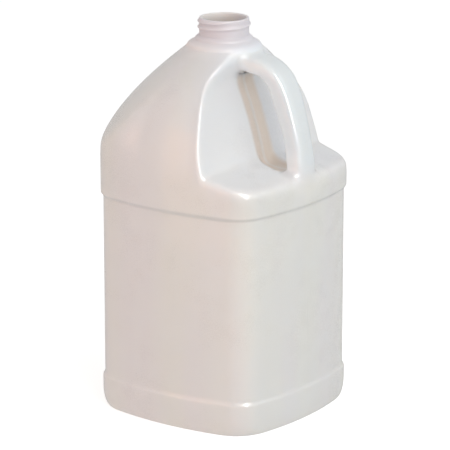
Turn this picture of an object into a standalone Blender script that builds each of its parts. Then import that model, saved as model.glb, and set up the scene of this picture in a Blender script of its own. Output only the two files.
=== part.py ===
"""One-gallon plastic jug: square blow-moulded body, threaded neck, hollow handle in its +X side.

Units are metres, +Z is up, and the origin is the middle of the foot the jug stands on. The
handle is on +X. The body is a skin lofted over a bowed square that runs into a domed shoulder.
The +X side of the shoulder is cut back by a leaning wall that stands on a sloping shelf, and
the handle crosses in front of that wall. The inside follows the outside at one wall thickness.
"""

import math

import bmesh
import bpy
import numpy as np
from mathutils import Vector

# Whole jug
HEIGHT = 0.2789
WALL = 0.0012
BASE_WALL = 0.0018

# Plan outline: a square with bowed sides and round corners
BAND_HALF = 0.07315
PANEL_HALF = 0.0716
BASE_HALF = 0.0728
CORNER_RADIUS = 0.0212
SIDE_BOW_RADIUS = 0.2366

# Foot: a flat ring round a shallow push-up
PUSH_UP_HEIGHT = 0.004
PUSH_UP_HALF = 0.0530
FOOT_INNER_HALF = 0.0570
FOOT_OUTER_HALF = 0.0702
FOOT_CORNER_RADIUS = 0.0300
FOOT_ROUND_HEIGHT = 0.0145
FOOT_ROUND_STEPS = 4

# Label panel, sunk between a base band and an upper band
PANEL_LOW = 0.0239
PANEL_HIGH = 0.1554
STEP_RISE = 0.0016
UPPER_START = 0.1620

# Domed shoulder: half-width = TOP + LEAN * drop - CURVE * drop squared, then straight
SHOULDER_TOP_Z = 0.2575
SHOULDER_TOP_RADIUS = 0.02806
SHOULDER_LEAN = 1.2748
SHOULDER_CURVE = 5.5
SHOULDER_STRAIGHT_DROP = 0.0494
SHOULDER_BLEND_CORNER = 0.0033
SHOULDER_BLEND_SIDE = 0.028
SHOULDER_BLEND_FROM = math.radians(36)
SHOULDER_BLEND_FULL = math.radians(15)

# Recess behind the handle: a leaning wall on a sloping shelf
RECESS_REF_Z = 0.188
RECESS_REF_X = 0.0350
RECESS_LEAN = 0.25
RECESS_CURVE = 2.2
RECESS_TOP_Z = 0.240
RECESS_TOP_X = 0.0170
RECESS_TOP_FLARE = 0.35
RECESS_TOP_BLEND = 0.003
RECESS_COLLAR_Z = 0.2550
RECESS_COLLAR_X = 0.0215
RECESS_COLLAR_FLARE = 4.5
RECESS_EDGE_BLEND = 0.012
RECESS_DRAFT = 0.06
RECESS_DRAFT_FULL_Z = 0.200
RECESS_DRAFT_NONE_Z = 0.217
RECESS_DRAFT_LEAST = -0.6
PINCH_HALF_WIDTH = 0.010
PINCH_DEPTH = 0.0018
SHELF_Z = 0.184
SHELF_REF_X = 0.036
SHELF_SLOPE = 0.25
SHELF_DRAFT = 0.07
SHELF_ROUNDING = 0.0045
SHELF_EDGE_MARGIN = 0.009
SHELF_FOOT_MARGIN = 0.012

# Floor of the finger gap: a flatter valley along the middle of the shelf
GAP_FLOOR_Z = 0.179
GAP_FLOOR_SLOPE = 0.085
GAP_FLOOR_X = 0.045
GAP_FLOOR_HALF_WIDTH = 0.009
GAP_FLOOR_FADE = 0.004

# Neck for a 38 mm screw cap
NECK_RADIUS = 0.01745
BORE_RADIUS = 0.01545
RIM_ROUNDING = 0.0004
NECK_STEPS = (
    (0.02650, 0.2590),
    (0.02600, 0.2600),
    (0.02540, 0.2610),
    (0.02430, 0.2619),
    (0.02200, 0.2630),
    (0.02050, 0.2639),
    (0.02010, 0.2651),
    (0.01880, 0.2661),
    (NECK_RADIUS, 0.2669),
)
THREAD_PITCH = 0.00423
THREAD_START_Z = 0.2714
THREAD_TURNS = 1.5
THREAD_START_ANGLE = math.radians(150)
THREAD_RIDGE_RADIUS = 0.0013
THREAD_END_SHARE = 0.35
THREAD_GROWTH_PER_STEP = 0.2
THREAD_STEPS_PER_TURN = 24

# Handle centre line in the plane Y = 0: X, Z, half thickness, half width
HANDLE_LINE = (
    (0.0120, 0.2505, 0.0070, 0.0145),
    (0.0270, 0.2503, 0.0066, 0.0130),
    (0.0400, 0.2470, 0.0062, 0.0118),
    (0.0478, 0.2406, 0.0068, 0.0114),
    (0.0530, 0.2305, 0.0074, 0.0110),
    (0.0567, 0.2200, 0.0074, 0.0104),
    (0.0599, 0.2105, 0.0070, 0.0100),
    (0.0626, 0.2000, 0.0070, 0.0098),
    (0.0643, 0.1905, 0.0072, 0.0098),
    (0.0652, 0.1810, 0.0076, 0.0110),
    (0.0653, 0.1720, 0.0078, 0.0130),
    (0.0640, 0.1580, 0.0070, 0.0130),
)
HANDLE_SQUARENESS = 3.0
HANDLE_WALL = 0.0015

# Mesh density
RECESS_EDGE_ANGLE = math.radians(67.5)
EDGE_COLUMN_GAP = math.radians(3.6)
EDGE_COLUMN_CLEARANCE = 0.7
RECESS_LEAST_COSINE = 0.15
OUTER_SIDE_STEPS = 8
OUTER_CORNER_STEPS = 6
OUTER_EDGE_COLUMNS = 5
INNER_SIDE_STEPS = 6
INNER_CORNER_STEPS = 4
INNER_EDGE_COLUMNS = 1
PROFILE_SAMPLE = 0.0005
ROUNDING_REACH = 3
SHELF_ROWS = 10
WALL_ROWS = 11
HANDLE_RINGS = 22
HANDLE_SIDES = 16
BORE_ABOVE_RIM = 0.010
THREAD_MERGE_DISTANCE = 0.00001
JUG_MERGE_DISTANCE = 0.00002
SHARP_ANGLE = math.radians(40)


def clear_scene():
    """Remove every object of the open scene."""
    for old in list(bpy.data.objects):
        bpy.data.objects.remove(old, do_unlink=True)


def new_collection(name):
    """Return a new collection linked to the scene."""
    made = bpy.data.collections.new(name)
    bpy.context.scene.collection.children.link(made)
    return made


def natural_plastic():
    """Milky unpigmented polyethylene."""
    material = bpy.data.materials.new("natural_plastic")
    material.use_nodes = True
    shader = material.node_tree.nodes["Principled BSDF"]
    shader.inputs["Base Color"].default_value = (0.80, 0.77, 0.74, 1.0)
    shader.inputs["Roughness"].default_value = 0.35
    shader.inputs["Metallic"].default_value = 0.0
    return material


def soft_min(a, b, blend):
    """Smaller of two lengths, rounded over a difference of `blend`."""
    overlap = np.maximum(blend - np.abs(a - b), 0.0) / blend
    return np.minimum(a, b) - overlap**2 * blend / 4


def plan_outline(angle, corner_radius=CORNER_RADIUS):
    """Distance from the axis to the bowed square of half-width 1, at a polar angle."""
    corner = corner_radius / BAND_HALF
    bow = SIDE_BOW_RADIUS / BAND_HALF
    fold = np.abs((angle + math.pi / 4) % (math.pi / 2) - math.pi / 4)
    centre = (bow - corner) * math.sin(side_end_normal(corner_radius))
    side = (1 - bow) * np.cos(fold) + np.sqrt(bow**2 - ((1 - bow) * np.sin(fold)) ** 2)
    off_corner = math.pi / 4 - fold
    reach = centre * math.sqrt(2)
    inside = np.maximum(corner**2 - (reach * np.sin(off_corner)) ** 2, 0.0)
    round_part = reach * np.cos(off_corner) + np.sqrt(inside)
    return np.where(fold < side_end_angle(corner_radius), side, round_part)


def side_end_normal(corner_radius):
    """Direction that the outline faces where a bowed side meets a round corner."""
    ratio = (BAND_HALF - SIDE_BOW_RADIUS) / (SIDE_BOW_RADIUS - corner_radius)
    return math.asin(ratio / math.sqrt(2)) + math.pi / 4


def side_end_angle(corner_radius):
    """Polar angle at which a bowed side meets a round corner."""
    normal = side_end_normal(corner_radius)
    x = BAND_HALF - SIDE_BOW_RADIUS + SIDE_BOW_RADIUS * math.cos(normal)
    return math.atan2(SIDE_BOW_RADIUS * math.sin(normal), x)


def column_angles(side_steps, corner_steps, edge_columns):
    """Polar angles of the loft's columns, closer at the corners and the recess's edges."""
    end = side_end_angle(CORNER_RADIUS)
    side = np.linspace(-end, end, side_steps, endpoint=False)
    corner = np.linspace(end, math.pi / 2 - end, corner_steps, endpoint=False)
    quarter = np.concatenate([side, corner])
    even = np.concatenate([quarter + turn * math.pi / 2 for turn in range(4)])
    wrapped = (even + math.pi) % (2 * math.pi) - math.pi
    near = (np.arange(edge_columns) - (edge_columns - 1) / 2) * EDGE_COLUMN_GAP
    extra = np.concatenate([RECESS_EDGE_ANGLE + near, -RECESS_EDGE_ANGLE - near])
    apart = np.abs(wrapped[:, None] - extra[None, :]).min(axis=1)
    kept = wrapped[apart > EDGE_COLUMN_GAP * EDGE_COLUMN_CLEARANCE]
    return np.sort(np.concatenate([kept, extra]))


def shoulder_radius(z):
    """Radius of the domed shoulder at a height: curved near the neck, a cone below."""
    drop = SHOULDER_TOP_Z - z
    bend = np.minimum(drop, SHOULDER_STRAIGHT_DROP)
    curved = SHOULDER_TOP_RADIUS + SHOULDER_LEAN * bend - SHOULDER_CURVE * bend**2
    end_lean = SHOULDER_LEAN - 2 * SHOULDER_CURVE * SHOULDER_STRAIGHT_DROP
    return curved + end_lean * (drop - bend)


def shoulder_blend(angle):
    """Rounding between band and dome: tight at the corners, broad over the sides."""
    fold = abs((angle + math.pi / 4) % (math.pi / 2) - math.pi / 4)
    share = (SHOULDER_BLEND_FROM - fold) / (SHOULDER_BLEND_FROM - SHOULDER_BLEND_FULL)
    share = min(max(share, 0.0), 1.0)
    ease = share**2 * (3 - 2 * share)
    return SHOULDER_BLEND_CORNER + (SHOULDER_BLEND_SIDE - SHOULDER_BLEND_CORNER) * ease


def recess_depth(z, off_middle):
    """X of the wall behind the handle, at a height and a distance from the middle plane."""
    rise = z - RECESS_REF_Z
    lean = RECESS_REF_X - RECESS_LEAN * rise - RECESS_CURVE * np.maximum(rise, 0) ** 2
    flare = RECESS_TOP_X + RECESS_TOP_FLARE * (z - RECESS_TOP_Z)
    face = -soft_min(-lean, -flare, RECESS_TOP_BLEND)
    collar = RECESS_COLLAR_X + RECESS_COLLAR_FLARE * (z - RECESS_COLLAR_Z)
    face = -soft_min(-face, -collar, RECESS_TOP_BLEND)
    span = RECESS_DRAFT_NONE_Z - RECESS_DRAFT_FULL_Z
    share = np.clip((RECESS_DRAFT_NONE_Z - z) / span, RECESS_DRAFT_LEAST, 1)
    draft = RECESS_DRAFT * share * np.maximum(off_middle - PINCH_HALF_WIDTH, 0)
    pinch = PINCH_DEPTH * np.maximum(1 - off_middle / PINCH_HALF_WIDTH, 0)
    return face - draft - pinch


def shoulder_profile(angle, inset):
    """Rows (radius, z) of the body above the upper band, at one polar angle.

    Below the recess the profile climbs the band, crosses the shelf, climbs the wall and joins
    the dome. Elsewhere it climbs from the band to the dome. Its bends are then rounded.
    """
    z = np.arange(UPPER_START, SHOULDER_TOP_Z, PROFILE_SAMPLE)
    z = np.append(z, SHOULDER_TOP_Z)
    blend = shoulder_blend(angle)
    band = BAND_HALF * float(plan_outline(angle)) - inset
    blank = soft_min(np.full_like(z, band), shoulder_radius(z) - inset, blend)
    cosine = math.cos(angle)
    edge_z = SHELF_Z
    foot_z = SHELF_Z
    points = np.column_stack([blank, z])
    if cosine > RECESS_LEAST_COSINE:
        off_middle = abs(math.tan(angle)) * recess_depth(z, 0.0)
        wall = (recess_depth(z, off_middle) - inset) / cosine
        skin = soft_min(blank, wall, RECESS_EDGE_BLEND)
        edge_z, foot_z = shelf_ends(z, blank, skin, angle, inset)
        low = z < edge_z
        high = z > foot_z
        shelf_radius = np.interp([edge_z, foot_z], z, blank)
        shelf_radius[1] = np.interp(foot_z, z, skin)
        shelf = np.column_stack([shelf_radius, [edge_z, foot_z]])
        below = np.column_stack([blank[low], z[low]])
        above = np.column_stack([skin[high], z[high]])
        points = np.concatenate([below, shelf, above])
    return rounded_rows(points, edge_z, foot_z)


def shelf_ends(z, blank, skin, angle, inset):
    """Heights at which the shelf meets the band outside and the leaning wall inside."""
    off_middle = abs(math.tan(angle)) * GAP_FLOOR_X
    side = min(max((off_middle - GAP_FLOOR_HALF_WIDTH) / GAP_FLOOR_FADE, 0.0), 1.0)

    def above_shelf(radius):
        ahead = radius * math.cos(angle) - SHELF_REF_X
        aside = np.maximum(radius * abs(math.sin(angle)) - PINCH_HALF_WIDTH, 0)
        plane = SHELF_Z - SHELF_SLOPE * ahead - SHELF_DRAFT * aside
        floor = GAP_FLOOR_Z - GAP_FLOOR_SLOPE * ahead
        return z + inset - side * plane - (1 - side) * floor

    edge_z = float(np.interp(0.0, above_shelf(blank), z))
    foot_z = float(np.interp(0.0, above_shelf(skin), z))
    return edge_z, max(foot_z, edge_z + PROFILE_SAMPLE)


def rounded_rows(points, edge_z, foot_z):
    """Round the bends of a profile and return its rows, closest together round the shelf."""
    steps = np.hypot(*np.diff(points, axis=0).T)
    along = np.concatenate([[0.0], np.cumsum(steps)])
    edge = np.interp(edge_z, points[:, 1], along)
    foot = np.interp(foot_z, points[:, 1], along)
    even = np.arange(0.0, along[-1], PROFILE_SAMPLE)
    even = np.append(even, along[-1])
    path = np.column_stack([np.interp(even, along, points[:, i]) for i in range(2)])
    reach = int(ROUNDING_REACH * SHELF_ROUNDING / PROFILE_SAMPLE)
    offsets = np.arange(-reach, reach + 1) * PROFILE_SAMPLE
    weights = np.exp(-0.5 * (offsets / SHELF_ROUNDING) ** 2)
    weights /= weights.sum()
    before = 2 * path[0] - path[reach:0:-1]
    after = 2 * path[-1] - path[-2:-reach - 2:-1]
    padded = np.concatenate([before, path, after])
    smooth = [np.convolve(padded[:, i], weights, mode="valid") for i in range(2)]
    start = edge - SHELF_EDGE_MARGIN
    end = foot + SHELF_FOOT_MARGIN
    shelf_part = np.linspace(start, end, SHELF_ROWS, endpoint=False)
    wall_part = np.linspace(end, along[-1], WALL_ROWS)
    wanted = np.concatenate([[0.0], shelf_part, wall_part])
    return np.column_stack([np.interp(wanted, even, s) for s in smooth])


def ring(radii, angles, z):
    """Points at the given distances from the axis, all at one height."""
    return np.column_stack([radii * np.cos(angles), radii * np.sin(angles), np.full(len(angles), z)])


def foot_rows(inset, rise):
    """Half-width, height and corner radius of the rows from the foot up to the base band."""
    rows = [
        (PUSH_UP_HALF / 2, PUSH_UP_HEIGHT + rise, FOOT_CORNER_RADIUS),
        (PUSH_UP_HALF, PUSH_UP_HEIGHT + rise, FOOT_CORNER_RADIUS),
        (FOOT_INNER_HALF + inset, rise, FOOT_CORNER_RADIUS),
        (FOOT_OUTER_HALF - inset, rise, FOOT_CORNER_RADIUS),
    ]
    width = BASE_HALF - FOOT_OUTER_HALF
    for step in range(1, FOOT_ROUND_STEPS + 1):
        turn = math.pi / 2 * step / FOOT_ROUND_STEPS
        half = FOOT_OUTER_HALF + width * math.sin(turn) - inset
        height = rise + (FOOT_ROUND_HEIGHT - rise) * (1 - math.cos(turn))
        corner = FOOT_CORNER_RADIUS + (CORNER_RADIUS - FOOT_CORNER_RADIUS) * math.sin(turn)
        rows.append((half, height, corner))
    return rows


def body_rings(angles, inset, rise):
    """Rings of the body from the middle of the foot to the top of the shoulder."""
    rows = foot_rows(inset, rise)
    rows += [
        (BASE_HALF - inset, PANEL_LOW - STEP_RISE / 2, CORNER_RADIUS),
        (PANEL_HALF - inset, PANEL_LOW + STEP_RISE / 2, CORNER_RADIUS),
        (PANEL_HALF - inset, PANEL_HIGH - STEP_RISE / 2, CORNER_RADIUS),
        (BAND_HALF - inset, PANEL_HIGH + STEP_RISE / 2, CORNER_RADIUS),
    ]
    rings = [ring(half * plan_outline(angles, corner), angles, z) for half, z, corner in rows]
    profiles = np.array([shoulder_profile(a, inset) for a in angles])
    radii = profiles[:, :, 0]
    heights = profiles[:, :, 1]
    x = radii * np.cos(angles)[:, None]
    y = radii * np.sin(angles)[:, None]
    shoulder = np.stack([x, y, heights], axis=-1).transpose(1, 0, 2)
    return rings + list(shoulder)


def skin_object(name, rings, collection):
    """Closed skin over a stack of rings with equal point counts, flat at both ends."""
    mesh = bpy.data.meshes.new(name)
    shape = bmesh.new()
    rows = [[shape.verts.new(Vector(point)) for point in row] for row in rings]
    count = len(rows[0])
    for lower, upper in zip(rows, rows[1:]):
        for i in range(count):
            j = (i + 1) % count
            shape.faces.new((lower[i], lower[j], upper[j], upper[i]))
    for row, outward in ((rows[0], -1), (rows[-1], 1)):
        middle = sum((v.co for v in row), Vector()) / count
        hub = shape.verts.new(middle)
        for i in range(count):
            pair = (row[i], row[(i + 1) % count])
            shape.faces.new((hub, *pair) if outward > 0 else (hub, *reversed(pair)))
    bmesh.ops.triangulate(shape, faces=shape.faces[:])
    bmesh.ops.recalc_face_normals(shape, faces=shape.faces[:])
    shape.to_mesh(mesh)
    shape.free()
    made = bpy.data.objects.new(name, mesh)
    collection.objects.link(made)
    return made


def handle_line(count):
    """Evenly spaced rows (x, z, half thickness, half width) on a smooth curve."""
    knots = np.array(HANDLE_LINE)
    spans = np.hypot(*np.diff(knots[:, :2], axis=0).T)
    along = np.concatenate([[0.0], np.cumsum(spans)])
    slopes = np.gradient(knots, along, axis=0)
    wanted = np.linspace(0.0, along[-1], count)
    index = np.clip(np.searchsorted(along, wanted, side="right") - 1, 0, len(spans) - 1)
    length = spans[index][:, None]
    t = (wanted[:, None] - along[index][:, None]) / length
    start = knots[index] * (2 * t**3 - 3 * t**2 + 1)
    end = knots[index + 1] * (3 * t**2 - 2 * t**3)
    leave = slopes[index] * length * (t**3 - 2 * t**2 + t)
    arrive = slopes[index + 1] * length * (t**3 - t**2)
    return start + end + leave + arrive


def handle_rings(count, sides, inset):
    """Rings of the handle: a rounded oblong square to the centre line."""
    line = handle_line(count)
    tangent = np.gradient(line[:, :2], axis=0)
    tangent /= np.linalg.norm(tangent, axis=1)[:, None]
    turn = np.arange(sides) * 2 * math.pi / sides
    power = 2 / HANDLE_SQUARENESS
    across = np.sign(np.cos(turn)) * np.abs(np.cos(turn)) ** power
    along_y = np.sign(np.sin(turn)) * np.abs(np.sin(turn)) ** power
    rings = []
    for (x, z, thick, wide), (tx, tz) in zip(line, tangent):
        out = (thick - inset) * across
        rings.append(np.column_stack([x - tz * out, (wide - inset) * along_y, z + tx * out]))
    return rings


def thread_object(collection):
    """Screw thread: a rounded ridge on a rising spiral, thinner at both ends."""
    count = int(THREAD_TURNS * THREAD_STEPS_PER_TURN) + 1
    curve = bpy.data.curves.new("thread_line", "CURVE")
    curve.dimensions = "3D"
    curve.bevel_depth = THREAD_RIDGE_RADIUS
    curve.bevel_resolution = 1
    curve.use_fill_caps = True
    spline = curve.splines.new("POLY")
    spline.points.add(count - 1)
    for i, point in enumerate(spline.points):
        turned = i / THREAD_STEPS_PER_TURN
        angle = THREAD_START_ANGLE + turned * 2 * math.pi
        z = THREAD_START_Z + turned * THREAD_PITCH
        from_end = min(i, count - 1 - i)
        point.co = (NECK_RADIUS * math.cos(angle), NECK_RADIUS * math.sin(angle), z, 1.0)
        point.radius = min(1.0, THREAD_END_SHARE + THREAD_GROWTH_PER_STEP * from_end)
    guide = bpy.data.objects.new("thread_line", curve)
    collection.objects.link(guide)
    bpy.context.view_layer.update()
    graph = bpy.context.evaluated_depsgraph_get()
    mesh = bpy.data.meshes.new_from_object(guide.evaluated_get(graph))
    shape = bmesh.new()
    shape.from_mesh(mesh)
    bmesh.ops.remove_doubles(shape, verts=shape.verts[:], dist=THREAD_MERGE_DISTANCE)
    bmesh.ops.recalc_face_normals(shape, faces=shape.faces[:])
    shape.to_mesh(mesh)
    shape.free()
    made = bpy.data.objects.new("thread", mesh)
    made.matrix_world = guide.matrix_world
    collection.objects.link(made)
    bpy.data.objects.remove(guide, do_unlink=True)
    return made


def join(target, tool, operation):
    """Add a Boolean modifier, apply it, and remove the tool."""
    modifier = target.modifiers.new(operation.lower(), "BOOLEAN")
    modifier.operation = operation
    modifier.solver = "EXACT"
    modifier.object = tool
    bpy.context.view_layer.update()
    graph = bpy.context.evaluated_depsgraph_get()
    result = bpy.data.meshes.new_from_object(target.evaluated_get(graph))
    target.modifiers.clear()
    old = target.data
    target.data = result
    bpy.data.meshes.remove(old)
    bpy.data.objects.remove(tool, do_unlink=True)


def outside(collection, cutters):
    """Jug filled solid: body, neck, handle and thread in one skin."""
    angles = column_angles(OUTER_SIDE_STEPS, OUTER_CORNER_STEPS, OUTER_EDGE_COLUMNS)
    around = np.ones(len(angles))
    rings = body_rings(angles, 0.0, 0.0)
    rings += [ring(radius * around, angles, z) for radius, z in NECK_STEPS]
    rings.append(ring(NECK_RADIUS * around, angles, HEIGHT - RIM_ROUNDING))
    rings.append(ring((NECK_RADIUS - RIM_ROUNDING) * around, angles, HEIGHT))
    jug = skin_object("jug", rings, collection)
    handle = skin_object("handle", handle_rings(HANDLE_RINGS, HANDLE_SIDES, 0.0), cutters)
    join(jug, handle, "UNION")
    join(jug, thread_object(cutters), "UNION")
    return jug


def inside(cutters):
    """Space inside the jug: body, neck bore and the handle's channel."""
    angles = column_angles(INNER_SIDE_STEPS, INNER_CORNER_STEPS, INNER_EDGE_COLUMNS)
    around = np.ones(len(angles))
    rings = body_rings(angles, WALL, BASE_WALL)
    for radius, z in NECK_STEPS[1:-1:2]:
        rings.append(ring((radius - WALL) * around, angles, z - WALL))
    rings.append(ring(BORE_RADIUS * around, angles, NECK_STEPS[-1][1] - WALL))
    rings.append(ring(BORE_RADIUS * around, angles, HEIGHT + BORE_ABOVE_RIM))
    space = skin_object("space", rings, cutters)
    channel = skin_object("channel", handle_rings(HANDLE_RINGS, HANDLE_SIDES, HANDLE_WALL), cutters)
    join(space, channel, "UNION")
    return space


def finish(jug):
    """Tidy the mesh, shade it and give it its material."""
    shape = bmesh.new()
    shape.from_mesh(jug.data)
    bmesh.ops.remove_doubles(shape, verts=shape.verts[:], dist=JUG_MERGE_DISTANCE)
    bmesh.ops.triangulate(shape, faces=shape.faces[:])
    shape.to_mesh(jug.data)
    shape.free()
    jug.data.shade_smooth()
    jug.data.set_sharp_from_angle(angle=SHARP_ANGLE)
    jug.data.materials.clear()
    jug.data.materials.append(natural_plastic())


def main():
    """Build the jug."""
    clear_scene()
    parts = new_collection("plastic_jug")
    cutters = new_collection("cutters")
    jug = outside(parts, cutters)
    join(jug, inside(cutters), "DIFFERENCE")
    finish(jug)


main()
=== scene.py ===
"""Looks of an empty one-gallon jug in natural, milky polyethylene.

The jug is one blow-moulded skin with a real wall: a bowed square body, a domed shoulder with a
recess cut into its +X side, a stepped and threaded neck, and a hollow handle whose two roots run
into the body in soft fillets. Everything is in metres, +Z is up and the handle is on +X.
"""

import logging
import math
from dataclasses import dataclass, field
from enum import Enum
from typing import Any

import bpy
import numpy as np
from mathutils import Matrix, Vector


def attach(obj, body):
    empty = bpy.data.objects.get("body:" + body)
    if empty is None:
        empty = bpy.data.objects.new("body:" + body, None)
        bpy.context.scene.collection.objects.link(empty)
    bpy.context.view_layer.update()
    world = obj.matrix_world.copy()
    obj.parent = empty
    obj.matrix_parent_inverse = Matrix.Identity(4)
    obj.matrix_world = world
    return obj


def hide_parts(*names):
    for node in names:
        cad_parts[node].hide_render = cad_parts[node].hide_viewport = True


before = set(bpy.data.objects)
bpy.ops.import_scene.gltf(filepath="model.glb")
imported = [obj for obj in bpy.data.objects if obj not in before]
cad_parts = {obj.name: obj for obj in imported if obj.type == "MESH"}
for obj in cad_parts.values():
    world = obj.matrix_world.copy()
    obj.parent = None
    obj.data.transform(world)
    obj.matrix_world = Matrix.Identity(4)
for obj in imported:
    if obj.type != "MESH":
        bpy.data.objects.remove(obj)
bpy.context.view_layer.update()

LOG = logging.getLogger("jug")
QUARTER = math.pi / 2
TURN = 2 * math.pi
FINE_SAMPLE = 0.0001
BELL_REACH = 3
MICROMETRE = 1e-6
KEY_BITS = 21
RELAX_CHUNK = 500
RELAX_STEP = 0.5

Array = np.ndarray
Socket = bpy.types.NodeSocket
Pair = tuple[float, float]
Colour = tuple[float, float, float, float]


class Join(Enum):
    """How a Boolean puts two closed skins together."""

    ADD = "UNION"
    TAKE_AWAY = "DIFFERENCE"


@dataclass(frozen=True)
class Density:
    """How finely one skin of the jug is sampled."""

    columns: int
    shoulder_rows: int
    handle_rings: int
    handle_sides: int


class Skin(Enum):
    """The two skins of the wall, with their densities."""

    OUTER = Density(columns=248, shoulder_rows=120, handle_rings=110, handle_sides=48)
    INNER = Density(columns=120, shoulder_rows=56, handle_rings=60, handle_sides=28)


def soft_min(a: Array, b: Array, blend: Array | float) -> Array:
    """Smaller of two lengths, rounded where they differ by less than a blend.

    The smaller value is lowered by a parabola of the overlap, so the bend has no crease.

    Args:
        a: First lengths.
        b: Second lengths.
        blend: Difference over which the bend is rounded.

    Returns:
        The rounded minimum.
    """
    overlap = np.maximum(blend - np.abs(a - b), 0.0) / blend
    return np.minimum(a, b) - overlap**2 * blend / 4


def ease(share: Array) -> Array:
    """Smooth step from 0 to 1: three times the square less twice the cube."""
    held = np.clip(share, 0.0, 1.0)
    return held**2 * (3 - 2 * held)


def along(path: Array) -> Array:
    """Length of the way from a path's start to each of its points."""
    return np.concatenate([[0.0], np.cumsum(np.linalg.norm(np.diff(path, axis=0), axis=1))])


def resample(path: Array, wanted: Array) -> Array:
    """Points of a path at the wanted distances from its start, by straight interpolation."""
    way = along(path)
    return np.column_stack([np.interp(wanted, way, axis) for axis in path.T])


def rounded(path: Array, spread: float, sample: float) -> Array:
    """Round a path's bends by averaging it along its own length.

    The path is sampled evenly, carried on past both ends by point reflection, and convolved with
    a bell curve, so its two ends stay where they are.

    Args:
        path: Points in a plane, one a row.
        spread: Standard deviation of the bell curve.
        sample: Spacing of the even samples.

    Returns:
        The rounded path, evenly sampled.
    """
    length = along(path)[-1]
    even = resample(path, np.linspace(0.0, length, int(length / sample) + 1))
    reach = int(BELL_REACH * spread / sample)
    weights = np.exp(-0.5 * (np.arange(-reach, reach + 1) * sample / spread) ** 2)
    weights /= weights.sum()
    before = 2 * even[0] - even[reach:0:-1]
    after = 2 * even[-1] - even[-2:-reach - 2:-1]
    padded = np.concatenate([before, even, after])
    return np.column_stack([np.convolve(axis, weights, mode="valid") for axis in padded.T])


def grid_mesh(name: str, rings: Array) -> bpy.types.Object:
    """Closed skin over a stack of rings, capped flat at both ends.

    A point's index is its ring times the ring's count plus its place in the ring. Each face joins
    two neighbours in a ring to the same two in the next ring.

    Args:
        name: Name of the new object.
        rings: Points as an array of rings by places by three.

    Returns:
        The linked object, its faces pointing outwards for rings that rise anticlockwise.
    """
    count, places = rings.shape[:2]
    here = np.arange(count * places).reshape(count, places)
    beside = np.roll(here, -1, axis=1)
    quads = np.stack([here[:-1], beside[:-1], beside[1:], here[1:]], axis=-1).reshape(-1, 4)
    faces = quads.tolist() + [here[0, ::-1].tolist(), here[-1].tolist()]
    mesh = bpy.data.meshes.new(name)
    mesh.from_pydata(rings.reshape(-1, 3), [], faces)
    made = bpy.data.objects.new(name, mesh)
    bpy.context.scene.collection.objects.link(made)
    return made


def vertices(mesh: bpy.types.Mesh) -> Array:
    """A mesh's vertex places, one a row."""
    places = np.empty(len(mesh.vertices) * 3, np.float32)
    mesh.vertices.foreach_get("co", places)
    return places.reshape(-1, 3).astype(float)


def combine(target: bpy.types.Object, tool: bpy.types.Object, how: Join) -> None:
    """Put a closed tool to or take it from a closed target, and remove the tool."""
    modifier = target.modifiers.new("join", "BOOLEAN")
    modifier.operation = how.value
    modifier.solver = "EXACT"
    modifier.object = tool
    graph = bpy.context.evaluated_depsgraph_get()
    result = bpy.data.meshes.new_from_object(target.evaluated_get(graph))
    target.modifiers.clear()
    target.data = result
    bpy.data.objects.remove(tool, do_unlink=True)


def place_keys(places: Array) -> Array:
    """One whole number for each place: its three counts of micrometres, 21 bits each."""
    counts = np.round(places / MICROMETRE).astype(np.int64) + 2 ** (KEY_BITS - 1)
    return (counts[:, 0] << 2 * KEY_BITS) + (counts[:, 1] << KEY_BITS) + counts[:, 2]


def relax_seam(mesh: bpy.types.Mesh, sources: Array, reach: float, rounds: int) -> None:
    """Turn the crease where two joined skins meet into a fillet.

    The crease's vertices are those that neither source skin had. Each vertex within reach of
    them moves, again and again, towards the mean of its neighbours, fully at the crease and not
    at all at the reach.

    Args:
        mesh: The joined mesh.
        sources: Vertices of the two skins before they were joined.
        reach: Distance from the crease up to which vertices move.
        rounds: Number of moves.
    """
    places = vertices(mesh)
    crease = places[~np.isin(place_keys(places), place_keys(sources))]
    low, high = crease.min(axis=0) - reach, crease.max(axis=0) + reach
    near = np.flatnonzero(((places > low) & (places < high)).all(axis=1))
    gap = np.concatenate([
        np.linalg.norm(part[:, None] - crease[None], axis=2).min(axis=1)
        for part in np.array_split(places[near], max(1, len(near) // RELAX_CHUNK))
    ])
    pull = np.zeros(len(places))
    pull[near] = ease(1 - gap / reach)
    ends = np.empty(len(mesh.edges) * 2, np.int32)
    mesh.edges.foreach_get("vertices", ends)
    first, second = ends.reshape(-1, 2).T
    tail, head = np.concatenate([first, second]), np.concatenate([second, first])
    friends = np.bincount(tail, minlength=len(places))
    for _ in range(rounds):
        total = [np.bincount(tail, axis[head], len(places)) for axis in places.T]
        mean = np.column_stack(total) / friends[:, None]
        places += (mean - places) * (RELAX_STEP * pull)[:, None]
    mesh.vertices.foreach_set("co", places.astype(np.float32).ravel())
    mesh.update()


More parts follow.
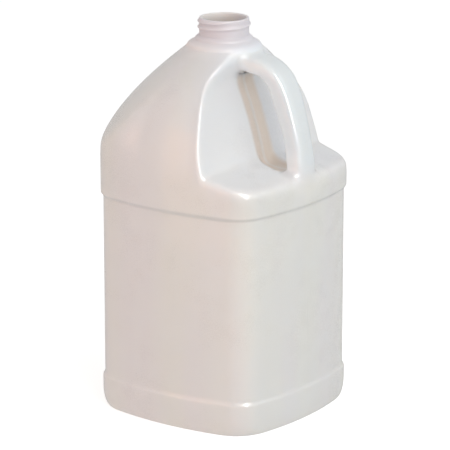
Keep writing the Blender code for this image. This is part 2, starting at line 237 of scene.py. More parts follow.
@dataclass
class PlanOutline:
    """Bowed square with round corners, as distances from the axis."""

    half: float = 0.07315
    corner_radius: float = 0.0212
    bow_radius: float = 0.2366

    def end_normal(self, corner_radius: float) -> float:
        """Direction that the outline faces where a bowed side meets a round corner."""
        ratio = (self.half - self.bow_radius) / (self.bow_radius - corner_radius)
        return math.asin(ratio / math.sqrt(2)) + math.pi / 4

    def end_angle(self, corner_radius: float) -> float:
        """Polar angle at which a bowed side meets a round corner."""
        normal = self.end_normal(corner_radius)
        x = self.half - self.bow_radius + self.bow_radius * math.cos(normal)
        return math.atan2(self.bow_radius * math.sin(normal), x)

    def reach(self, angle: Array, corner_radius: float | None = None) -> Array:
        """Distance to an outline of half-width 1.

        A side is an arc whose centre lies on the far side of the axis, and a corner is an arc
        about a point on the diagonal. The polar angle picks which of the two it meets.

        Args:
            angle: Polar angles.
            corner_radius: Radius of the corners, or None for the usual one.

        Returns:
            Distances from the axis.
        """
        radius = self.corner_radius if corner_radius is None else corner_radius
        corner, bow = radius / self.half, self.bow_radius / self.half
        fold = np.abs((angle + math.pi / 4) % QUARTER - math.pi / 4)
        side = (1 - bow) * np.cos(fold) + np.sqrt(bow**2 - ((1 - bow) * np.sin(fold)) ** 2)
        middle = (bow - corner) * math.sin(self.end_normal(radius)) * math.sqrt(2)
        off = math.pi / 4 - fold
        inside = np.maximum(corner**2 - (middle * np.sin(off)) ** 2, 0.0)
        turn = middle * np.cos(off) + np.sqrt(inside)
        return np.where(fold < self.end_angle(radius), side, turn)


@dataclass
class Foot:
    """Flat ring round a shallow push-up, rounded up into the base band."""

    push_up_height: float = 0.004
    push_up_half: float = 0.0530
    inner_half: float = 0.0570
    outer_half: float = 0.0702
    corner_radius: float = 0.0300
    round_height: float = 0.0145
    round_steps: int = 14
    slope_steps: int = 7
    middle_shares: tuple[float, ...] = (0.02, 0.35, 0.7)

    def rows(self, base_half: float, body_corner: float, inset: float, rise: float) -> Array:
        """Rows (half-width, z, corner radius) from the middle of the foot to the base band.

        The push-up rises by an eased step, and the round is a quarter of an ellipse.

        Args:
            base_half: Half-width of the base band.
            body_corner: Corner radius of the base band.
            inset: How far the skin lies inside the outer one.
            rise: Thickness of the floor under the skin.

        Returns:
            The rows from the middle outwards and up.
        """
        step = np.linspace(0.0, 1.0, self.slope_steps)
        slope_half = self.push_up_half + (self.inner_half + inset - self.push_up_half) * step
        slope_z = rise + self.push_up_height * (1 - ease(step))
        turn = np.linspace(0.0, QUARTER, self.round_steps + 1)
        round_half = self.outer_half + (base_half - self.outer_half) * np.sin(turn) - inset
        round_z = rise + (self.round_height - rise) * (1 - np.cos(turn))
        corner = self.corner_radius + (body_corner - self.corner_radius) * np.sin(turn)
        middle = self.push_up_half * np.array(self.middle_shares)
        middle_z = np.full(len(middle), rise + self.push_up_height)
        half = np.concatenate([middle, slope_half, round_half])
        z = np.concatenate([middle_z, slope_z, round_z])
        flat = np.full(len(middle) + len(step), self.corner_radius)
        return np.column_stack([half, z, np.concatenate([flat, corner])])


@dataclass
class LabelPanel:
    """Sunk panel between the base band and the upper band, with softly rounded steps."""

    base_half: float = 0.0728
    panel_half: float = 0.0716
    band_half: float = 0.07315
    low: float = 0.0239
    high: float = 0.1554
    step_rise: float = 0.0016
    rounding: float = 0.0008
    upper_start: float = 0.1620
    step_reach: float = 0.0030
    step_rows: int = 13
    panel_rows: int = 9

    def rows(self, start_z: float, corner_radius: float, inset: float) -> Array:
        """Rows (half-width, z, corner radius) from the base band to the upper band.

        The half-width is a path with two short slopes, whose bends are rounded, read off at
        heights that lie close together round each slope.

        Args:
            start_z: Height at which the foot's round ends.
            corner_radius: Corner radius of the bands.
            inset: How far the skin lies inside the outer one.

        Returns:
            The rows from below to above.
        """
        rise = self.step_rise / 2
        corners = np.array([
            (self.base_half, start_z), (self.base_half, self.low - rise),
            (self.panel_half, self.low + rise), (self.panel_half, self.high - rise),
            (self.band_half, self.high + rise), (self.band_half, self.upper_start),
        ])
        path = rounded(corners, self.rounding, FINE_SAMPLE)
        around = self.step_reach * np.linspace(-1.0, 1.0, self.step_rows)
        panel = np.linspace(self.low, self.high, self.panel_rows + 2)[1:-1]
        heights = np.concatenate([[0.5 * (start_z + self.low)], self.low + around,
                                  panel, self.high + around])
        half = np.interp(heights, path[:, 1], path[:, 0]) - inset
        return np.column_stack([half, heights, np.full(len(heights), corner_radius)])


@dataclass
class Dome:
    """Shoulder of revolution that the bowed square runs into."""

    top_z: float = 0.2575
    top_radius: float = 0.02806
    lean: float = 1.2748
    curve: float = 5.5
    straight_drop: float = 0.0494
    blend_corner: float = 0.0033
    blend_side: float = 0.028
    blend_from: float = math.radians(36)
    blend_full: float = math.radians(15)

    def radius(self, z: Array) -> Array:
        """Radius at a height: a parabola of the drop near the neck, a cone below."""
        drop = self.top_z - z
        bend = np.minimum(drop, self.straight_drop)
        curved = self.top_radius + self.lean * bend - self.curve * bend**2
        return curved + (self.lean - 2 * self.curve * self.straight_drop) * (drop - bend)

    def blend(self, angle: Array) -> Array:
        """Rounding between band and dome: tight at the corners, broad over the sides."""
        fold = np.abs((angle + math.pi / 4) % QUARTER - math.pi / 4)
        share = ease((self.blend_from - fold) / (self.blend_from - self.blend_full))
        return self.blend_corner + (self.blend_side - self.blend_corner) * share


@dataclass
class Recess:
    """Leaning wall and sloping shelf that make room for fingers behind the handle."""

    ref_z: float = 0.188
    ref_x: float = 0.0350
    lean: float = 0.25
    curve: float = 2.2
    top_z: float = 0.240
    top_x: float = 0.0170
    top_flare: float = 0.35
    top_blend: float = 0.003
    collar_z: float = 0.2550
    collar_x: float = 0.0215
    collar_flare: float = 4.5
    edge_blend: float = 0.004
    draft: float = 0.06
    draft_full_z: float = 0.200
    draft_none_z: float = 0.224
    draft_least: float = -0.6
    pinch_half: float = 0.010
    pinch_depth: float = 0.0018
    shelf_z: float = 0.184
    shelf_x: float = 0.036
    shelf_slope: float = 0.25
    shelf_draft: float = 0.045
    gap_floor_z: float = 0.179
    gap_floor_slope: float = 0.085
    gap_floor_x: float = 0.045
    gap_floor_half: float = 0.009
    gap_floor_fade: float = 0.008
    edge_angle: float = math.radians(67.5)
    least_cosine: float = 0.15

    def wall_x(self, z: Array, off_middle: Array | float) -> Array:
        """X of the leaning wall.

        A straight lean with a growing curve, met near the top by a flare and under the neck by a
        steeper one that runs the recess out. A draft turns the wall back towards its sides, and
        a shallow valley marks where both halves were pressed together.

        Args:
            z: Heights.
            off_middle: Distances from the plane Y = 0.

        Returns:
            X of the wall at each place.
        """
        rise = z - self.ref_z
        lean = self.ref_x - self.lean * rise - self.curve * np.maximum(rise, 0) ** 2
        flare = self.top_x + self.top_flare * (z - self.top_z)
        face = -soft_min(-lean, -flare, self.top_blend)
        collar = self.collar_x + self.collar_flare * (z - self.collar_z)
        face = -soft_min(-face, -collar, self.top_blend)
        span = self.draft_none_z - self.draft_full_z
        share = np.clip((self.draft_none_z - z) / span, self.draft_least, 1)
        draft = self.draft * share * np.maximum(off_middle - self.pinch_half, 0)
        pinch = self.pinch_depth * np.maximum(1 - off_middle / self.pinch_half, 0)
        return face - draft - pinch

    def shelf_radius(self, z: Array, angle: Array, inset: float) -> Array:
        """Distance from the axis at which the shelf has a height.

        The shelf drops evenly away from the wall, and faster again towards its two ends, so its
        height is the smaller of two planes and this distance is the smaller of their inverses.
        Along the middle both give way to the finger gap's flatter floor.

        Args:
            z: Heights.
            angle: Polar angles.
            inset: How far the skin lies inside the outer one.

        Returns:
            Distances from the axis.
        """
        off_middle = np.abs(np.tan(angle)) * self.gap_floor_x
        side = ease((off_middle - self.gap_floor_half) / self.gap_floor_fade + 0.5)
        slope = side * self.shelf_slope + (1 - side) * self.gap_floor_slope
        at_wall = side * self.shelf_z + (1 - side) * self.gap_floor_z
        ahead = slope * np.cos(angle)
        aside = side * self.shelf_draft * np.abs(np.sin(angle))
        start = at_wall - inset + slope * self.shelf_x - z
        drafted = (start + side * self.shelf_draft * self.pinch_half) / (ahead + aside)
        return np.minimum(start / ahead, drafted)

    def carve(self, blank: Array, z: Array, angle: Array, inset: float) -> Array:
        """Cut the recess out of a blank: stay behind the wall, or under the shelf.

        Args:
            blank: Distances from the axis to the uncut skin.
            z: Heights.
            angle: Polar angles.
            inset: How far the skin lies inside the outer one.

        Returns:
            Distances from the axis to the cut skin.
        """
        cosine = np.cos(angle)
        front = cosine > self.least_cosine
        safe = np.where(front, angle, 0.0)
        off_middle = np.abs(np.tan(safe)) * self.wall_x(z, 0.0)
        wall = (self.wall_x(z, off_middle) - inset) / np.cos(safe)
        held = np.maximum(soft_min(blank, wall, self.edge_blend),
                          self.shelf_radius(z, safe, inset))
        return np.where(front, np.minimum(blank, held), blank)


@dataclass
class Neck:
    """Stepped base, straight neck with a right-handed thread, and rounded lip."""

    radius: float = 0.01745
    bore_radius: float = 0.01545
    top_z: float = 0.2789
    lip_round: float = 0.0006
    steps: tuple[tuple[float, float], ...] = (
        (0.02806, 0.2575), (0.0265, 0.2590), (0.0260, 0.2600), (0.0254, 0.2610),
        (0.0243, 0.2619), (0.0220, 0.2630), (0.0205, 0.2639), (0.0201, 0.2651),
        (0.0188, 0.2661), (0.01745, 0.2669),
    )
    step_rounding: float = 0.0003
    thread_pitch: float = 0.00423
    thread_start_z: float = 0.2714
    thread_start: float = math.radians(150)
    thread_turns: float = 1.5
    thread_height: float = 0.0012
    thread_half: float = 0.0008
    thread_run_out: float = math.radians(40)
    wall_rings: int = 58
    lip_rings: int = 5
    clearance: float = 0.005

    def outer(self, angles: Array) -> Array:
        """Rings of the outside from the dome to the lip.

        The radius follows the rounded steps, then is constant, then a quarter circle over the
        lip. The thread is added as a ridge: a bell curve of the height above a line that rises
        one pitch a turn, faded over the run-out at both ends.

        Args:
            angles: Polar angles of the columns.

        Returns:
            Rings by columns by three.
        """
        end = np.array([(self.radius, self.top_z - self.lip_round)])
        corners = np.concatenate([np.array(self.steps), end])
        path = rounded(corners, self.step_rounding, FINE_SAMPLE)
        way = along(path)[-1]
        path = resample(path, np.linspace(0.0, way, self.wall_rings)[1:])
        turn = np.linspace(0.0, QUARTER, self.lip_rings)[1:]
        lip_r = self.radius - self.lip_round * (1 - np.cos(turn))
        lip_z = self.top_z - self.lip_round * (1 - np.sin(turn))
        radius = np.concatenate([path[:, 0], lip_r])[:, None]
        z = np.concatenate([path[:, 1], lip_z])[:, None]
        ridge = np.zeros((len(z), len(angles)))
        for lap in range(math.ceil(self.thread_turns) + 1):
            turned = (angles[None] - self.thread_start) % TURN + lap * TURN
            line = self.thread_start_z + self.thread_pitch * turned / TURN
            left = self.thread_turns * TURN - turned
            fade = ease(turned / self.thread_run_out) * ease(left / self.thread_run_out)
            bell = np.exp(-0.5 * ((z - line) / self.thread_half) ** 2)
            ridge = np.maximum(ridge, self.thread_height * bell * fade)
        reach = radius + ridge
        height = np.broadcast_to(z, reach.shape)
        return np.stack([reach * np.cos(angles), reach * np.sin(angles), height], axis=-1)

    def inner(self, angles: Array, wall: float) -> Array:
        """Rings of the bore from under the neck's steps to above the lip.

        Args:
            angles: Polar angles of the columns.
            wall: Thickness of the wall under the steps.

        Returns:
            Rings by columns by three.
        """
        under = np.array(self.steps[2:-1:2]) - wall
        bore = np.array([(self.bore_radius, self.steps[-1][1] - wall),
                         (self.bore_radius, self.top_z - self.lip_round)])
        turn = np.linspace(0.0, QUARTER, self.lip_rings)[1:]
        lip = np.column_stack([self.bore_radius + self.lip_round * (1 - np.cos(turn)),
                               self.top_z - self.lip_round * (1 - np.sin(turn))])
        above = np.array([(self.bore_radius + self.lip_round, self.top_z + self.clearance)])
        rows = np.concatenate([under, bore, lip, above])
        radius = rows[:, 0][:, None]
        height = np.broadcast_to(rows[:, 1][:, None], (len(rows), len(angles)))
        return np.stack([radius * np.cos(angles), radius * np.sin(angles), height], axis=-1)


@dataclass
class Handle:
    """Hollow handle in the plane Y = 0, with a rounded oblong section."""

    line: tuple[tuple[float, float, float, float], ...] = (
        (0.0120, 0.2505, 0.0070, 0.0145), (0.0270, 0.2503, 0.0066, 0.0130),
        (0.0400, 0.2470, 0.0062, 0.0118), (0.0478, 0.2406, 0.0068, 0.0114),
        (0.0530, 0.2305, 0.0074, 0.0110), (0.0567, 0.2200, 0.0074, 0.0104),
        (0.0599, 0.2105, 0.0070, 0.0100), (0.0626, 0.2000, 0.0070, 0.0098),
        (0.0643, 0.1905, 0.0072, 0.0098), (0.0652, 0.1810, 0.0076, 0.0110),
        (0.0653, 0.1720, 0.0078, 0.0130), (0.0640, 0.1580, 0.0070, 0.0130),
    )
    squareness: float = 3.4
    wall: float = 0.0015

    def centre(self, count: int) -> Array:
        """Rows (x, z, half thickness, half width), a cubic through the points of the line."""
        knots = np.array(self.line)
        way = along(knots[:, :2])
        slopes = np.gradient(knots, way, axis=0)
        wanted = np.linspace(0.0, way[-1], count)
        index = np.clip(np.searchsorted(way, wanted, side="right") - 1, 0, len(way) - 2)
        length = (way[index + 1] - way[index])[:, None]
        t = (wanted - way[index])[:, None] / length
        ends = knots[index] * (2 * t**3 - 3 * t**2 + 1) + knots[index + 1] * (3 * t**2 - 2 * t**3)
        leave = slopes[index] * length * (t**3 - 2 * t**2 + t)
        return ends + leave + slopes[index + 1] * length * (t**3 - t**2)

    def rings(self, density: Density, inset: float) -> Array:
        """Rings of the handle: a superellipse square to the centre line at each place.

        Args:
            density: How many rings and sides there are.
            inset: How far the skin lies inside the outer one.

        Returns:
            Rings by places by three.
        """
        rows = self.centre(density.handle_rings)
        tangent = np.gradient(rows[:, :2], axis=0)
        tangent /= np.linalg.norm(tangent, axis=1)[:, None]
        turn = np.arange(density.handle_sides) * TURN / density.handle_sides
        power = 2 / self.squareness
        across = np.sign(np.cos(turn)) * np.abs(np.cos(turn)) ** power
        sideways = np.sign(np.sin(turn)) * np.abs(np.sin(turn)) ** power
        out = (rows[:, 2] - inset)[:, None] * across
        x = rows[:, 0][:, None] - tangent[:, 1][:, None] * out
        z = rows[:, 1][:, None] + tangent[:, 0][:, None] * out
        return np.stack([x, (rows[:, 3] - inset)[:, None] * sideways, z], axis=-1)


@dataclass
class Jug:
    """The whole moulded jug: one hollow skin made of body, neck and handle."""

    wall: float = 0.0012
    floor: float = 0.0018
    bend_rounding: float = 0.0040
    fillet_reach: float = 0.011
    fillet_rounds: int = 70
    profile_sample: float = 0.0004
    profile_heights: int = 600
    angle_samples: int = 20001
    edge_crowding: float = 2.0
    edge_spread: float = math.radians(9)
    corner_crowding: float = 0.8
    corner_spread: float = math.radians(13)
    plan: PlanOutline = field(default_factory=PlanOutline)
    foot: Foot = field(default_factory=Foot)
    panel: LabelPanel = field(default_factory=LabelPanel)
    dome: Dome = field(default_factory=Dome)
    recess: Recess = field(default_factory=Recess)
    neck: Neck = field(default_factory=Neck)
    handle: Handle = field(default_factory=Handle)

    def columns(self, count: int) -> Array:
        """Polar angles, closest at the recess's edges and closer at the corners.

        A density over the angle is summed up and read backwards at even steps.

        Args:
            count: Number of columns.

        Returns:
            Angles from -pi up to pi.
        """
        fine = np.linspace(-math.pi, math.pi, self.angle_samples)
        fold = np.abs((fine + math.pi / 4) % QUARTER - math.pi / 4)
        edge = np.exp(-((np.abs(fine) - self.recess.edge_angle) / self.edge_spread) ** 2)
        corner = np.exp(-((fold - math.pi / 4) / self.corner_spread) ** 2)
        total = np.cumsum(1 + self.edge_crowding * edge + self.corner_crowding * corner)
        return np.interp(np.arange(count) / count * total[-1], total, fine)

    def shoulder(self, angles: Array, rows: int, inset: float) -> Array:
        """Rings of the shoulder from the upper band to the dome's top.

        In each column the distance from the axis is a function of height: the soft minimum of
        band and dome, cut by the recess. Its bends are rounded along the column, and the rows
        lie evenly along it.

        Args:
            angles: Polar angles of the columns.
            rows: Number of rings.
            inset: How far the skin lies inside the outer one.

        Returns:
            Rings by columns by three.
        """
        z = np.linspace(self.panel.upper_start, self.dome.top_z, self.profile_heights)[None]
        column = angles[:, None]
        band = self.panel.band_half * self.plan.reach(column) - inset
        blank = soft_min(band + 0 * z, self.dome.radius(z) - inset, self.dome.blend(column))
        reach = self.recess.carve(blank, z, column, inset)
        height = np.broadcast_to(z, reach.shape)
        profiles = []
        for path in np.stack([reach, height], axis=-1):
            smooth = rounded(path, self.bend_rounding, self.profile_sample)
            profiles.append(resample(smooth, np.linspace(0.0, along(smooth)[-1], rows)))
        radius, level = np.array(profiles).transpose(2, 1, 0)
        return np.stack([radius * np.cos(angles), radius * np.sin(angles), level], axis=-1)

    def lower(self, angles: Array, inset: float, rise: float) -> Array:
        """Rings of the foot, base band and label panel: a half-width times the outline."""
        foot = self.foot.rows(self.panel.base_half, self.plan.corner_radius, inset, rise)
        rows = np.concatenate([foot, self.panel.rows(
            self.foot.round_height, self.plan.corner_radius, inset)])
        reach = np.array([half * self.plan.reach(angles, corner) for half, _, corner in rows])
        height = np.broadcast_to(rows[:, 1][:, None], reach.shape)
        return np.stack([reach * np.cos(angles), reach * np.sin(angles), height], axis=-1)

    def skin(self, side: Skin) -> bpy.types.Object:
        """One closed skin of the jug, with the handle joined to it by fillets.

        Args:
            side: Which skin of the wall.

        Returns:
            The skin as an object.
        """
        outer = side is Skin.OUTER
        inset, rise = (0.0, 0.0) if outer else (self.wall, self.floor)
        angles = self.columns(side.value.columns)
        shoulder = self.shoulder(angles, side.value.shoulder_rows, inset)
        neck = self.neck.outer(angles) if outer else self.neck.inner(angles, self.wall)
        rings = np.concatenate([self.lower(angles, inset, rise), shoulder, neck])
        body = grid_mesh(f"{side.name.lower()}_body", rings)
        grip = self.handle.rings(side.value, 0.0 if outer else self.handle.wall)
        tube = grid_mesh(f"{side.name.lower()}_handle", grip[:, ::-1])
        sources = np.concatenate([vertices(body.data), vertices(tube.data)])
        combine(body, tube, Join.ADD)
        relax_seam(body.data, sources, self.fillet_reach, self.fillet_rounds)
        LOG.info("%s skin: %d faces", side.name.lower(), len(body.data.polygons))
        return body

    def build(self) -> bpy.types.Object:
        """The finished jug, which stands for the plain solid."""
        jug = self.skin(Skin.OUTER)
        combine(jug, self.skin(Skin.INNER), Join.TAKE_AWAY)
        jug.name = "jug_skin"
        jug.data.name = "jug_skin"
        jug.data.shade_smooth()
        jug.data.materials.clear()
        jug.data.materials.append(NaturalPlastic().material())
        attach(jug, "root")
        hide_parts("jug")
        return jug


class Wire:
    """A value on its way through a shader, with arithmetic that adds Math nodes."""

    def __init__(self, bench: "Bench", socket: Socket) -> None:
        """Keep the bench that adds nodes and the socket that holds the value."""
        self.bench = bench
        self.socket = socket

    def math(self, operation: str, *values: "Wire | float") -> "Wire":
        """Result of a Math node on some values."""
        return self.bench.node("ShaderNodeMath", {"operation": operation}, dict(enumerate(values)))

    def __add__(self, other: "Wire | float") -> "Wire":
        """Sum."""
        return self.math("ADD", self, other)

    __radd__ = __add__

    def __mul__(self, other: "Wire | float") -> "Wire":
        """Product."""
        return self.math("MULTIPLY", self, other)

    __rmul__ = __mul__

    def __sub__(self, other: "Wire | float") -> "Wire":
        """Difference."""
        return self.math("SUBTRACT", self, other)

    def __rsub__(self, other: float) -> "Wire":
        """Difference from a number."""
        return self.math("SUBTRACT", other, self)

    def band(self, low: float, high: float) -> "Wire":
        """0 below the low value, 1 above the high one, eased between."""
        settings = {"interpolation_type": "SMOOTHSTEP"}
        return self.bench.node("ShaderNodeMapRange", settings, {0: self, 1: low, 2: high})


class Bench:
    """Builds one material's nodes."""

    def __init__(self, name: str) -> None:
        """Start a material with its shader, and keep both."""
        self.material = bpy.data.materials.new(name)
        self.material.use_nodes = True
        self.tree = self.material.node_tree
        self.shader = self.tree.nodes["Principled BSDF"]

    def node(self, kind: str, settings: dict[str, Any], inputs: dict[Any, Any],
             output: int | str = 0) -> Wire:
        """Add a node.

        Args:
            kind: The node's type.
            settings: Its own settings, which are set first.
            inputs: Values or wires for its sockets, by index or name.
            output: The output that is wanted.

        Returns:
            The wire from that output.
        """
        made = self.tree.nodes.new(kind)
        for key, value in settings.items():
            setattr(made, key, value)
        for key, value in inputs.items():
            self.plug(made.inputs[key], value)
        return Wire(self, made.outputs[output])

    def plug(self, socket: Socket, value: Any) -> None:
        """Link a wire to a socket, or set the socket's own value."""
        if isinstance(value, Wire):
            self.tree.links.new(value.socket, socket)
        else:
            socket.default_value = value

    def mix(self, share: Wire, first: Any, second: Any) -> Wire:
        """Colour between two colours."""
        return self.node("ShaderNodeMix", {"data_type": "RGBA"}, {0: share, 6: first, 7: second}, 2)

    def stretched(self, place: Wire, across: float, upright: float) -> Wire:
        """Place scaled one way across and another way upright."""
        scale = (across, across, upright)
        return self.node("ShaderNodeMapping", {}, {"Vector": place, "Scale": scale})

    def noise(self, place: Wire, scale: float, detail: float = 2.0) -> Wire:
        """Noise of a size, as a value about one half."""
        return self.node("ShaderNodeTexNoise", {}, {"Vector": place, "Scale": scale,
                                                    "Detail": detail}, 0)


@dataclass(frozen=True)
class Zones:
    """Where the colour changes, in the plastic and in painted light and shade: pairs of lengths
    between which a change comes or goes.

    A rise, bottom or top is a height, a half is a distance from the plane Y = 0, a radius is one
    from the axis, and a reach or start is an X. The reaches of the painted cool light and of the
    painted shade on the grip's sides are X plus a share of Z, so their limits lean like the
    recess's wall.
    """

    floor_rise: Pair = (0.180, 0.186)
    floor_reach: Pair = (0.052, 0.060)
    wall_reach: Pair = (0.037, 0.044)
    gap_half: Pair = (0.007, 0.012)
    gap_start: Pair = (0.008, 0.014)
    gap_bottom: Pair = (0.168, 0.172)
    gap_top: Pair = (0.238, 0.246)
    weld_half: Pair = (0.0008, 0.0022)
    seam_half: Pair = (0.0002, 0.0009)
    wall_lean: float = 0.3
    cool_reach: Pair = (0.067, 0.113)
    cool_rise: Pair = (0.165, 0.190)
    grip_reach: Pair = (0.106, 0.113)
    grip_bottom: Pair = (0.186, 0.200)
    grip_top: Pair = (0.240, 0.250)
    grip_half: Pair = (0.0070, 0.0095)
    bore_radius: Pair = (0.0157, 0.0170)
    neck_rise: Pair = (0.256, 0.268)
    matt_rise: Pair = (0.2525, 0.2570)


class Masks:
    """Wires that are 1 in a zone of the jug and 0 away from it."""

    def __init__(self, bench: Bench, place: Wire, zones: Zones) -> None:
        """Work out every mask from the three parts of a place."""
        x, y, z = (bench.node("ShaderNodeSeparateXYZ", {}, {0: place}, i) for i in range(3))
        off_middle = y.math("ABSOLUTE", y)
        # The finger gap's wall and floor behind the handle: denser pinched plastic there, and
        # painted shade where the handle shades it.
        low = 1 - z.band(*zones.floor_rise)
        on_wall = (1 - low) * (1 - x.band(*zones.wall_reach))
        on_floor = low * (1 - x.band(*zones.floor_reach))
        upright = z.band(*zones.gap_bottom) * (1 - z.band(*zones.gap_top))
        gap = (1 - off_middle.band(*zones.gap_half)) * (on_wall + on_floor)
        self.gap = gap * x.band(*zones.gap_start) * upright
        self.weld = 1 - off_middle.band(*zones.weld_half)
        self.seam = 1 - off_middle.band(*zones.seam_half)
        outwards = x + zones.wall_lean * z
        # Where cool light is painted: the handle and the upper +X side of the shoulder.
        self.cool_light_side = outwards.band(*zones.cool_reach) * z.band(*zones.cool_rise)
        # Where shade is painted on the grip's two sides.
        along_grip = z.band(*zones.grip_bottom) * (1 - z.band(*zones.grip_top))
        shaded_grip_side = outwards.band(*zones.grip_reach) * along_grip
        self.shaded_grip_side = shaded_grip_side * off_middle.band(*zones.grip_half)
        # Where shade is painted on the neck: its outside fully, its bore in part.
        from_axis = x * x + y * y
        self.outside = from_axis.math("SQRT", from_axis).band(*zones.bore_radius)
        self.neck = z.band(*zones.neck_rise)
        self.matt = z.band(*zones.matt_rise)


@dataclass(frozen=True)
class NaturalPlastic:
    """Unpigmented polyethylene: milky, satin, warmer and denser where it is thick, with painted
    light and shade.
    """

    thin: Colour = (0.945, 0.905, 0.870, 1.0)
    rosy: Colour = (0.930, 0.855, 0.835, 1.0)
    sandy: Colour = (0.950, 0.885, 0.810, 1.0)
    pinched_and_shaded: Colour = (0.84, 0.715, 0.62, 1.0)
    neck_shade: Colour = (0.745, 0.715, 0.745, 1.0)
    cool: Colour = (0.860, 0.910, 0.970, 1.0)
    grip_side_shade: Colour = (0.790, 0.850, 0.880, 1.0)
    thin_share: float = 0.5
    bore_shade_share: float = 0.3
    weld_share: float = 0.35
    cloud_scale: float = 22.0
    streak_scale: Pair = (90.0, 4.0)
    streak_share: float = 0.25
    uneven_range: Pair = (0.3, 0.7)
    tone_scale: Pair = (27.0, 3.0)
    tone_range: Pair = (0.35, 0.65)
    grain_scale: float = 1900.0
    grain_share: float = 0.4
    gloss: float = 0.28
    gloss_change: float = 0.08
    matt_change: float = 0.25
    polish: float = 0.6
    polish_roughness: float = 0.07
    cloud_height: float = 0.0002
    streak_height: float = 0.00003
    grain_height: float = 0.000008
    seam_height: float = 0.00004
    weld_height: float = 0.00004
    refraction: float = 1.53
    scatter: float = 1.0
    scatter_depth: float = 0.002
    scatter_radius: tuple[float, float, float] = (1.0, 0.95, 0.9)
    zones: Zones = Zones()

    def material(self) -> bpy.types.Material:
        """Material whose colour follows the wall's thickness and painted light and shade, and whose
        gloss is uneven.

        Slow noise stands for the wall's thickness, and tall noise for the broad upright bands in
        which its tone drifts. A cool tint on the handle and the upper +X side of the shoulder is
        painted cool light. The finger gap's wall and floor behind the handle are painted tan and
        darker: partly denser pinch-welded plastic, partly painted shade where the handle shades
        them, with a paler weld along the middle. The grip's sides are greyed as painted shade, and
        the neck's outside, and a little its bore, are darkened as painted shade. Upright streaks
        are the lines that the moulding tube was drawn with, a faint ridge marks where the two mould
        halves met, and fine grain is the mould's own surface. A thin smooth coat gives the crisp
        lights on its edges, below the collar, which is cut and formed by matt steel.
        """
        bench = Bench("natural_polyethylene")
        place = bench.node("ShaderNodeTexCoord", {}, {}, "Object")
        masks = Masks(bench, place, self.zones)
        cloud = bench.noise(place, self.cloud_scale)
        streak = bench.noise(bench.stretched(place, *self.streak_scale), 1.0, 1.0)
        tone = bench.noise(bench.stretched(place, *self.tone_scale), 1.0, 1.0)
        grain = bench.noise(place, self.grain_scale)
        uneven = (1 - self.streak_share) * cloud + self.streak_share * streak
        colour = bench.mix(tone.band(*self.tone_range), self.rosy, self.sandy)
        thin = self.thin_share * uneven.band(*self.uneven_range)
        colour = bench.mix(thin, colour, self.thin)
        # Painted cool light: the handle and the shoulder's upper +X side are tinted cool, as the
        # cool lamp from the right lights them.
        colour = bench.mix(masks.cool_light_side, colour, self.cool)
        # Painted shade: the grip's sides, which face away from the light, are greyed and darkened.
        colour = bench.mix(masks.shaded_grip_side, colour, self.grip_side_shade)
        # Painted shade: the neck's outside is darkened, and its bore a little.
        neck_shade_share = masks.neck * (self.bore_shade_share + (1 - self.bore_shade_share) * masks.outside)
        colour = bench.mix(neck_shade_share, colour, self.neck_shade)
        # Partly real and partly painted shade: the gap behind and under the handle is darkened tan
        # for the denser pinch-welded plastic and as painted shade from the handle, with a paler
        # real weld along its middle.
        pinch = masks.gap * (1 - self.weld_share * masks.weld)
        colour = bench.mix(pinch, colour, self.pinched_and_shaded)
        bench.plug(bench.shader.inputs["Base Color"], colour)
        bench.plug(bench.shader.inputs["Coat Weight"], self.polish * (1 - masks.matt))
        bench.plug(bench.shader.inputs["Coat Roughness"], self.polish_roughness)
        change = (1 - self.grain_share) * cloud + self.grain_share * grain - 0.5
        rough = self.gloss + self.gloss_change * change + self.matt_change * masks.matt
        bench.plug(bench.shader.inputs["Roughness"], rough)
        height = self.streak_height * streak + self.grain_height * grain
        height = height + self.cloud_height * cloud
        height = height + self.seam_height * masks.seam * (1 - masks.gap)
        height = height + self.weld_height * masks.gap * masks.weld
        bump = bench.node("ShaderNodeBump", {}, {"Strength": 1.0, "Distance": 1.0,
                                                 "Height": height})
        bench.plug(bench.shader.inputs["Normal"], bump)
        bench.plug(bench.shader.inputs["IOR"], self.refraction)
        bench.plug(bench.shader.inputs["Subsurface Weight"], self.scatter)
        bench.plug(bench.shader.inputs["Subsurface Scale"], self.scatter_depth)
        bench.plug(bench.shader.inputs["Subsurface Radius"], self.scatter_radius)
        return bench.material


@dataclass(frozen=True)
class PaleFloor:
    """Matt, nearly white floor that is lit evenly from below, like a light table."""

    colour: Colour = (0.93, 0.93, 0.93, 1.0)
    roughness: float = 0.9
    light: Colour = (1.0, 1.0, 1.0, 1.0)
    glow: float = 0.46

    def material(self) -> bpy.types.Material:
        """Plain diffuse material with an even glow."""
        bench = Bench("pale_floor")
        bench.plug(bench.shader.inputs["Base Color"], self.colour)
        bench.plug(bench.shader.inputs["Roughness"], self.roughness)
        bench.plug(bench.shader.inputs["Specular IOR Level"], 0.0)
        bench.plug(bench.shader.inputs["Emission Color"], self.light)
        bench.plug(bench.shader.inputs["Emission Strength"], self.glow)
        return bench.material


@dataclass
class Lamp:
    """A rectangular light that faces the jug, soft or, as a strip, seen in gloss alone."""

    name: str
    azimuth: float
    elevation: float
    distance: float
    size: tuple[float, float]
    power: float
    colour: tuple[float, float, float]
    gloss_only: bool = False


def bearing(azimuth: float, elevation: float) -> Vector:
    """Direction from the jug: azimuth 0 is towards -Y and 90 towards +X, in degrees."""
    turn, rise = math.radians(azimuth), math.radians(elevation)
    flat = math.cos(rise)
    return Vector((math.sin(turn) * flat, -math.cos(turn) * flat, math.sin(rise)))


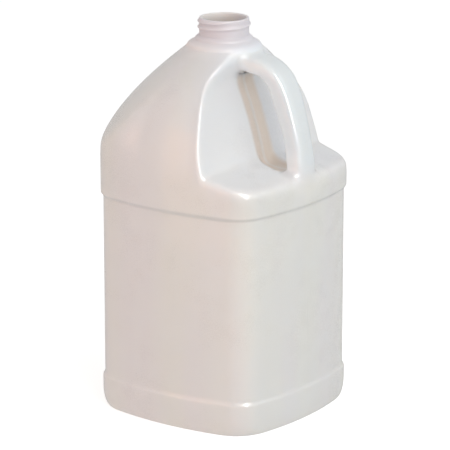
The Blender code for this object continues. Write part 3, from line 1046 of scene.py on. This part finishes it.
@dataclass
class Studio:
    """Camera, floor, surround and lights."""

    azimuth: float = 36.1
    elevation: float = 15.4
    distance: float = 2.105
    aim: tuple[float, float, float] = (0.0, 0.0, 0.1287)
    lens: float = 238.2
    shift: tuple[float, float] = (0.0018, 0.0011)
    floor_size: float = 40.0
    surround: Colour = (1.0, 1.0, 1.0, 1.0)
    surround_strength: float = 0.57
    lamps: tuple[Lamp, ...] = (
        Lamp("strip", 66.0, 35.0, 1.3, (0.03, 1.2), 22.0, (1.0, 1.0, 1.0), gloss_only=True),
        Lamp("key", 66.0, 40.0, 1.3, (0.8, 0.8), 3.0, (1.0, 1.0, 1.0)),
        Lamp("front", 48.0, 22.0, 2.0, (2.0, 1.5), 5.3, (1.0, 0.94, 0.89)),
        Lamp("left", -15.0, 5.0, 1.6, (1.2, 1.2), 4.9, (1.0, 0.40, 0.20)),
        Lamp("right", 105.0, 30.0, 1.6, (1.2, 1.2), 3.1, (0.84, 0.96, 1.0)),
    )

    def camera(self) -> bpy.types.Object:
        """Camera at the photograph's angle."""
        data = bpy.data.cameras.new("camera")
        data.lens = self.lens
        data.shift_x, data.shift_y = self.shift
        made = bpy.data.objects.new("camera", data)
        bpy.context.scene.collection.objects.link(made)
        back = bearing(self.azimuth, self.elevation)
        made.location = Vector(self.aim) + back * self.distance
        made.rotation_euler = (-back).to_track_quat("-Z", "Y").to_euler()
        bpy.context.scene.camera = made
        return made

    def floor(self) -> bpy.types.Object:
        """Wide pale floor under the jug."""
        half = self.floor_size / 2
        mesh = bpy.data.meshes.new("floor")
        corners = [(-half, -half, 0), (half, -half, 0), (half, half, 0), (-half, half, 0)]
        mesh.from_pydata(corners, [], [(0, 1, 2, 3)])
        made = bpy.data.objects.new("floor", mesh)
        bpy.context.scene.collection.objects.link(made)
        made.data.materials.append(PaleFloor().material())
        made.visible_diffuse = False
        made.visible_glossy = False
        return made

    def light(self, lamp: Lamp) -> bpy.types.Object:
        """One soft light, turned to face the jug's middle, which gloss alone may show."""
        data = bpy.data.lights.new(lamp.name, "AREA")
        data.shape = "RECTANGLE"
        data.size, data.size_y = lamp.size
        data.energy = lamp.power
        data.color = lamp.colour
        made = bpy.data.objects.new(lamp.name, data)
        bpy.context.scene.collection.objects.link(made)
        back = bearing(lamp.azimuth, lamp.elevation)
        made.location = Vector(self.aim) + back * lamp.distance
        made.rotation_euler = (-back).to_track_quat("-Z", "Y").to_euler()
        made.visible_diffuse = not lamp.gloss_only
        return made

    def build(self) -> None:
        """Set up the whole studio."""
        self.camera()
        self.floor()
        for lamp in self.lamps:
            self.light(lamp)
        world = bpy.data.worlds.new("surround")
        world.use_nodes = True
        background = world.node_tree.nodes["Background"]
        background.inputs["Color"].default_value = self.surround
        background.inputs["Strength"].default_value = self.surround_strength
        bpy.context.scene.world = world
        bpy.context.scene.view_settings.view_transform = "Standard"


def main() -> None:
    """Build the jug and the studio, and report the pieces."""
    logging.basicConfig(level=logging.INFO)
    jug = Jug().build()
    LOG.info("%s: %d faces", jug.name, len(jug.data.polygons))
    Studio().build()


if __name__ == "__main__":
    main()
